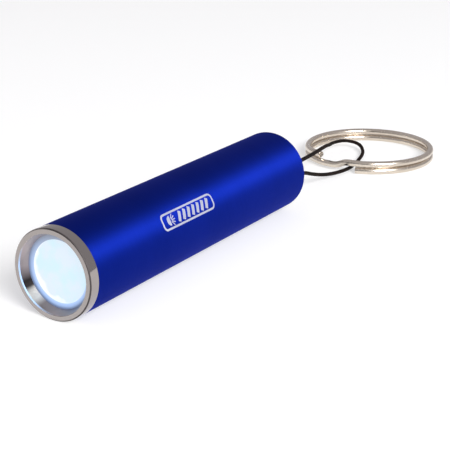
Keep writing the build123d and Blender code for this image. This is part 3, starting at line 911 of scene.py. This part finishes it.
place(lathe("lens_disc", lens_outline()), lens_lit, "lens_stage", ["lens"])


# Press button: rubber cap with a flange, a shallow dish, a rim and small grip bumps. Sizes in mm.

CAP_RADIUS = 3.65
FLANGE_RADIUS = 4.1
FLANGE_FRONT = 65.45
FLANGE_BACK = 66.45
DISH_RIM = 2.35
DISH_RADIUS = 2.15
DISH_STEP = 0.22
DISH_DEPTH = 0.34
BUMP_RADIUS = 0.26
BUMP_HEIGHT = 0.75
BUMP_SINK = 0.27
BUMP_SEGMENTS = 16
BUMP_BANDS = 10
BUMP_RINGS = [(0.0, 1), (0.85, 6), (1.6, 12)]


def button_outline():
    """The cap's half section, from its front end to its dished face."""
    front = (BUTTON_LOW.y - FRONT_Y) / MM
    end = (BUTTON_HIGH.y - FRONT_Y) / MM
    return rounded(
        [
            (front, 0, 0),
            (front, CAP_RADIUS, 0.1),
            (FLANGE_FRONT, CAP_RADIUS, 0),
            (FLANGE_FRONT, FLANGE_RADIUS, 0.05),
            (FLANGE_BACK, FLANGE_RADIUS, 0.05),
            (FLANGE_BACK, CAP_RADIUS, 0),
            (end, CAP_RADIUS, 0.85),
            (end, DISH_RIM, 0.12),
            (end - DISH_STEP, DISH_RADIUS, 0.12),
            (end - DISH_DEPTH, 0, 0),
        ],
        steps=6,
    )


def add_bump(work, centre):
    """Add a flattened ball to a bmesh, with its poles above and below its centre."""
    rings = []
    for band in range(BUMP_BANDS + 1):
        tilt = math.pi * band / BUMP_BANDS
        level = BUMP_RADIUS * MM * math.sin(tilt)
        rise = BUMP_RADIUS * MM * math.cos(tilt)
        ring = []
        for corner in range(1 if band in (0, BUMP_BANDS) else BUMP_SEGMENTS):
            turn = 2 * math.pi * corner / BUMP_SEGMENTS
            spoke = Vector((level * math.cos(turn), level * math.sin(turn) * BUMP_HEIGHT, rise))
            ring.append(work.verts.new(centre + spoke))
        rings.append(ring)
    for this, following in zip(rings, rings[1:]):
        for segment in range(BUMP_SEGMENTS):
            beside = (segment + 1) % BUMP_SEGMENTS
            if len(this) == 1:
                work.faces.new((this[0], following[segment], following[beside]))
            elif len(following) == 1:
                work.faces.new((this[segment], following[0], this[beside]))
            else:
                work.faces.new((this[segment], following[segment], following[beside], this[beside]))


def button_mesh():
    """The cap as a turned body, with rings of low bumps in its dish."""
    mesh = lathe("button_cap", button_outline(), 128)
    work = bmesh.new()
    work.from_mesh(mesh)
    station = (BUTTON_HIGH.y - FRONT_Y) / MM - BUMP_SINK
    for distance_out, count in BUMP_RINGS:
        for number in range(count):
            add_bump(work, Vector(round_axis(station, distance_out, 2 * math.pi * number / count)))
    for face in work.faces:
        face.smooth = True
    work.to_mesh(mesh)
    work.free()
    return mesh


place(button_mesh(), button_rubber, "button", ["push_button"])


# Return spring: a coil of wire round the tube's axis. Sizes in mm.

SPRING_FRONT = 58.8
SPRING_BACK = 62.4
SPRING_RADIUS = 2.5
SPRING_WIRE = 0.2
SPRING_BEVEL = 0.05
SPRING_TURNS = 5
SPRING_STEPS = 36


def helix_line():
    """The centre of the spring's wire."""
    line = []
    length = SPRING_BACK - SPRING_FRONT - 2 * SPRING_WIRE
    total = SPRING_TURNS * SPRING_STEPS
    for step in range(total + 1):
        share = step / total
        station = SPRING_FRONT + SPRING_WIRE + length * share
        line.append(Vector(round_axis(station, SPRING_RADIUS, 2 * math.pi * SPRING_TURNS * share)))
    return line


coil = wire("return_coil", helix_line(), SPRING_WIRE * MM, SPRING_BEVEL * MM, segments=10, sharp_degrees=60)
return_coil = place(coil, spring_steel, "torch_body", ["return_spring"])
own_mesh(return_coil)


# Printed mark: a plain outline with a lamp sign and bars, laid on the tube. Sizes in mm.

MARK_MIDDLE = -5.9
MARK_ANGLE = math.radians(28.5)
MARK_LENGTH = 15.8
MARK_HEIGHT = 3.1
MARK_LINE = 0.36
MARK_CORNER = 1.0
MARK_THICKNESS = 0.012
MARK_STEP = 0.3
LAMP_CENTRE = (-5.55, 0.0)
LAMP_RADIUS = 0.9
RAY_START = 0.4
RAY_END = 1.35
RAY_LINE = 0.2
RAY_DIRECTIONS = (-50, -25, 0, 25, 50)
BAR_COUNT = 7
BAR_FIRST = -2.75
BAR_SPACING = 1.42
BAR_LEAN = 0.4
BAR_REACH = 0.88
BAR_LINE = 0.72


class Mark:
    """Thin printed shapes wrapped on the tube. u runs along the tube towards the tail, v round it."""

    def __init__(self):
        self.points = []
        self.faces = []

    def wrapped(self, u, v, height):
        """The point on the tube at u and v, raised by a height."""
        angle = MARK_ANGLE + v / TUBE_OUTER
        radius = (TUBE_OUTER + height) * MM
        return (radius * math.cos(angle), (MARK_MIDDLE + u) * MM, AXIS_Z + radius * math.sin(angle))

    def sheet(self, shape, along, across):
        """A thin closed slab over a grid, where shape(a, b) gives (u, v) for shares a and b."""
        top = []
        bottom = []
        for i in range(along + 1):
            for j in range(across + 1):
                u, v = shape(i / along, j / across)
                top.append(len(self.points))
                self.points.append(self.wrapped(u, v, MARK_THICKNESS))
                bottom.append(len(self.points))
                self.points.append(self.wrapped(u, v, -MARK_THICKNESS))
        width = across + 1
        for i in range(along):
            for j in range(across):
                a = i * width + j
                self.faces.append((top[a], top[a + 1], top[a + width + 1], top[a + width]))
                self.faces.append((bottom[a], bottom[a + width], bottom[a + width + 1], bottom[a + 1]))
        border = [(i * width, (i + 1) * width) for i in range(along)]
        border += [((i + 1) * width + across, i * width + across) for i in range(along)]
        border += [(j + 1, j) for j in range(across)]
        border += [(along * width + j, along * width + j + 1) for j in range(across)]
        for a, b in border:
            self.faces.append((top[a], top[b], bottom[b], bottom[a]))

    def bar(self, start, end, width):
        """A straight bar between two (u, v) points."""
        start, end = Vector(start), Vector(end)
        direction = (end - start).normalized()
        side = Vector((-direction.y, direction.x)) * width / 2
        steps = max(1, math.ceil((end - start).length / MARK_STEP))

        def shape(a, b):
            point = start.lerp(end, a) + side * (2 * b - 1)
            return point.x, point.y

        self.sheet(shape, steps, 2)

    def arc(self, centre, inner, outer, first, last):
        """A piece of a ring between two angles in degrees."""
        steps = max(2, math.ceil(math.radians(abs(last - first)) * outer / MARK_STEP * 2))

        def shape(a, b):
            angle = math.radians(first + (last - first) * a)
            radius = inner + (outer - inner) * b
            return centre[0] + radius * math.cos(angle), centre[1] + radius * math.sin(angle)

        self.sheet(shape, steps, max(1, math.ceil((outer - inner) / MARK_STEP)))

    def outline(self):
        """A line round the mark, with rounded corners."""
        half_length = MARK_LENGTH / 2
        half_height = MARK_HEIGHT / 2
        straight = half_length - MARK_CORNER
        upright = half_height - MARK_CORNER
        middle = MARK_LINE / 2
        for side in (-1, 1):
            edge_v = side * (half_height - middle)
            edge_u = side * (half_length - middle)
            self.bar((-straight, edge_v), (straight, edge_v), MARK_LINE)
            self.bar((edge_u, -upright), (edge_u, upright), MARK_LINE)
        corners = [(straight, upright), (-straight, upright), (-straight, -upright), (straight, -upright)]
        for number, corner in enumerate(corners):
            first = 90 * number
            self.arc(corner, MARK_CORNER - MARK_LINE, MARK_CORNER, first, first + 90)


def make_mark():
    """A rounded outline, and in it a half disc with rays and a row of slanting bars."""
    mark = Mark()
    mark.outline()
    mark.arc(LAMP_CENTRE, 0.0, LAMP_RADIUS, 90, 270)
    lamp = Vector(LAMP_CENTRE)
    for direction in RAY_DIRECTIONS:
        turn = math.radians(direction)
        ray = Vector((math.cos(turn), math.sin(turn)))
        mark.bar(lamp + ray * RAY_START, lamp + ray * RAY_END, RAY_LINE)
    for number in range(BAR_COUNT):
        u = BAR_FIRST + number * BAR_SPACING
        mark.bar((u - BAR_LEAN, -BAR_REACH), (u + BAR_LEAN, BAR_REACH), BAR_LINE)
    return mesh_from("mark_print", mark.points, mark.faces)


place(make_mark(), print_silver, "torch_body")


# Carried-over CAD nodes: shape from the frame, better material

NODE_MATERIALS = {
    "reflector": reflector_metal,
    "led": led_lit,
    "led_leads": tinned_wire,
    "led_board": board_laminate,
    "series_resistor": resistor_ceramic,
    "board_spacer": white_plastic,
    "front_contact_spring": spring_steel,
    "button_cell_1": cell_nickel,
    "button_cell_2": cell_nickel,
    "button_cell_3": cell_nickel,
    "button_cell_4": cell_nickel,
    "battery_sleeve": white_plastic,
    "battery_spring": spring_steel,
    "centre_contact": contact_brass,
    "side_contact": contact_brass,
    "switch_housing": black_plastic,
    "contact_bridge": contact_brass,
    "switch_plunger": white_plastic,
    "switch_guide": black_plastic,
    "tail_plug": black_plastic,
}
for name, material in NODE_MATERIALS.items():
    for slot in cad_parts[name].material_slots:
        slot.material = material


# Stage: pale floor, grey surround and one large soft light

FLOOR_HALF = 3.0
FLOOR_LEVEL = -0.02 * MM
FLOOR_TONE = (0.58, 0.58, 0.58, 1)
FLOOR_GLOW = 0.47
SURROUND_GREY = (0.46, 0.45, 0.47)
SURROUND_DARK = (0.03, 0.03, 0.03)
DARK_SIDE = (0.506, -0.796, 0.332)
DARK_FROM = 0.91
DARK_WHOLE = 0.965
KEY_DIRECTION = (0.75, -0.475, 0.515)
KEY_DISTANCE = 1.2
KEY_SIZE = (0.8, 0.6)
KEY_RADIANCE = 12.2
KEY_AIM = (0, 0.02, AXIS_Z)
KEY_FADE = 0.6
KEY_PEAK = 2.35


def make_floor():
    """A pale floor, lit from within like a light table."""
    mesh = bpy.data.meshes.new("floor")
    corners = [(-1, -1), (1, -1), (1, 1), (-1, 1)]
    mesh.from_pydata([(x * FLOOR_HALF, y * FLOOR_HALF, FLOOR_LEVEL) for x, y in corners], [], [(0, 1, 2, 3)])
    floor = bpy.data.objects.new("floor", mesh)
    bpy.context.scene.collection.objects.link(floor)
    material, _, shader = new_material("floor_pale")
    shader.inputs["Base Color"].default_value = FLOOR_TONE
    shader.inputs["Roughness"].default_value = 0.9
    shader.inputs["Specular IOR Level"].default_value = 0.0
    shader.inputs["Emission Color"].default_value = (1.0, 1.0, 1.0, 1)
    shader.inputs["Emission Strength"].default_value = FLOOR_GLOW
    mesh.materials.append(material)


def make_surround():
    """A grey surround that is dark at the front right."""
    world = bpy.data.worlds.new("surround")
    world.use_nodes = True
    tree = world.node_tree
    where = node(tree, "ShaderNodeTexCoord")
    along = node(tree, "ShaderNodeVectorMath", operation="DOT_PRODUCT")
    along.inputs[1].default_value = DARK_SIDE
    tree.links.new(where.outputs["Generated"], along.inputs[0])
    tone = ramp(tree, along.outputs["Value"], [(DARK_FROM, SURROUND_GREY), (DARK_WHOLE, SURROUND_DARK)])
    tree.links.new(tone, tree.nodes["Background"].inputs["Color"])
    bpy.context.scene.world = world


def feather(light_data):
    """Make an area light fade from a bright middle to nothing at its edges."""
    light_data.use_nodes = True
    tree = light_data.node_tree
    surface = node(tree, "ShaderNodeNewGeometry")
    centred = node(tree, "ShaderNodeMapping", Location=(-1, -1, 0), Scale=(2, 2, 1))
    ball = node(tree, "ShaderNodeTexGradient", gradient_type="SPHERICAL")
    fade = node(tree, "ShaderNodeMapRange", interpolation_type="SMOOTHSTEP")
    fade.inputs["From Max"].default_value = KEY_FADE
    fade.inputs["To Max"].default_value = KEY_PEAK
    tree.links.new(surface.outputs["Parametric"], centred.inputs["Vector"])
    tree.links.new(centred.outputs["Vector"], ball.inputs["Vector"])
    tree.links.new(ball.outputs["Fac"], fade.inputs["Value"])
    tree.links.new(fade.outputs["Result"], tree.nodes["Emission"].inputs["Strength"])


def make_key():
    """A large soft light aimed at the torch from the right."""
    width, height = KEY_SIZE
    data = bpy.data.lights.new("key", "AREA")
    data.shape = "RECTANGLE"
    data.size = width
    data.size_y = height
    data.energy = KEY_RADIANCE * math.pi * width * height
    feather(data)
    light = bpy.data.objects.new("key", data)
    bpy.context.scene.collection.objects.link(light)
    towards = Vector(KEY_DIRECTION).normalized()
    light.location = Vector(KEY_AIM) + towards * KEY_DISTANCE
    light.rotation_mode = "QUATERNION"
    light.rotation_quaternion = (-towards).to_track_quat("-Z", "Y")


make_floor()
make_surround()
make_key()
bpy.context.scene.view_settings.view_transform = "Standard"
